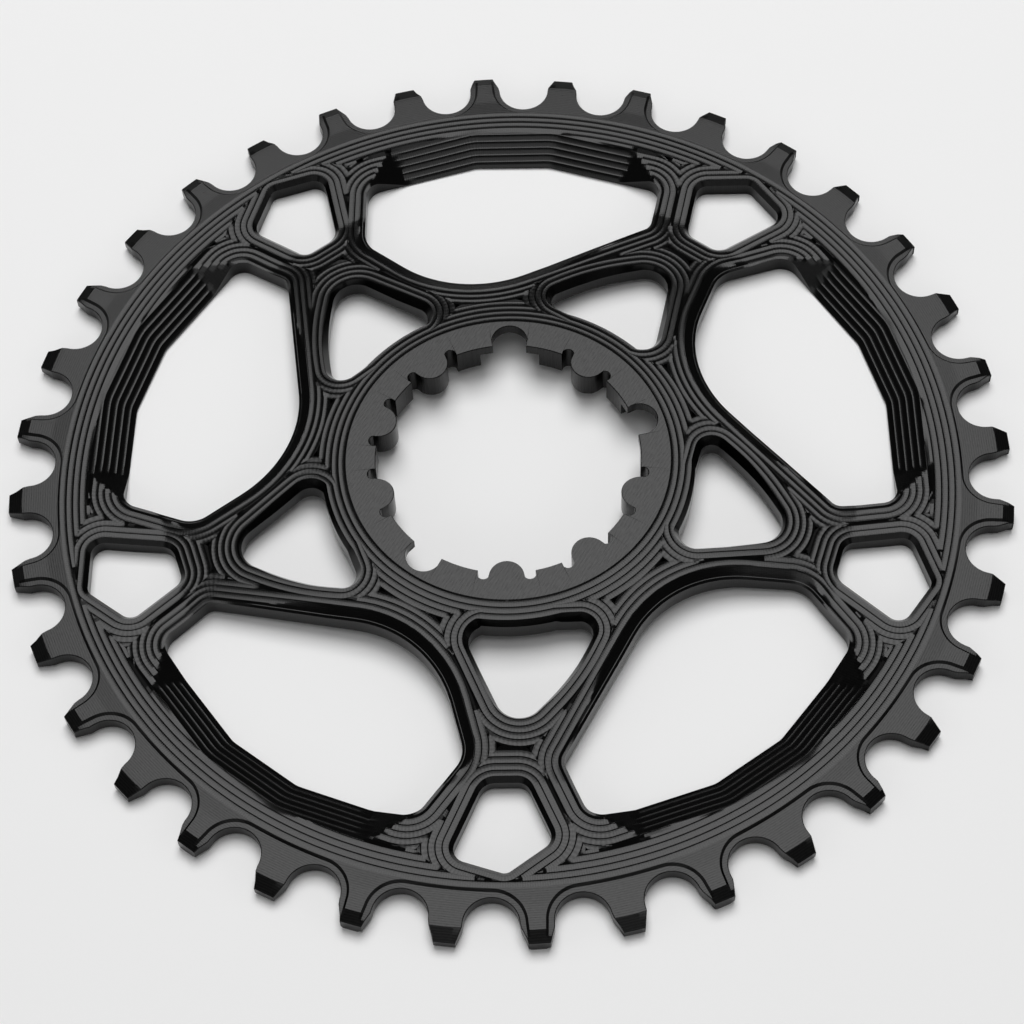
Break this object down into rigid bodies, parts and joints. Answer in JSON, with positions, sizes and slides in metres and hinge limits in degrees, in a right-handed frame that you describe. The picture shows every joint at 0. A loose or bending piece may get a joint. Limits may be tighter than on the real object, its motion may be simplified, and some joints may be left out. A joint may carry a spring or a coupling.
{
  "type": "bicycle chainring",
  "caption": "Round one-piece bicycle chainring with alternating wide and narrow teeth, a dished web of leaning arms and windows, and a splined hub with bolt notches.",
  "frame": {"origin": "on the ring axis, in the plane of the rim's back face", "axes": "+Z along the ring axis out of the outer face, +Y through the middle of one large window and one bolt notch"},
  "size_m": [0.151, 0.151, 0.0065],
  "materials": {
    "anodised_aluminium": "satin black anodised, as milled"
  },
  "bodies": {
    "root": {"chainring": "anodised_aluminium"}
  },
  "joints": []
}
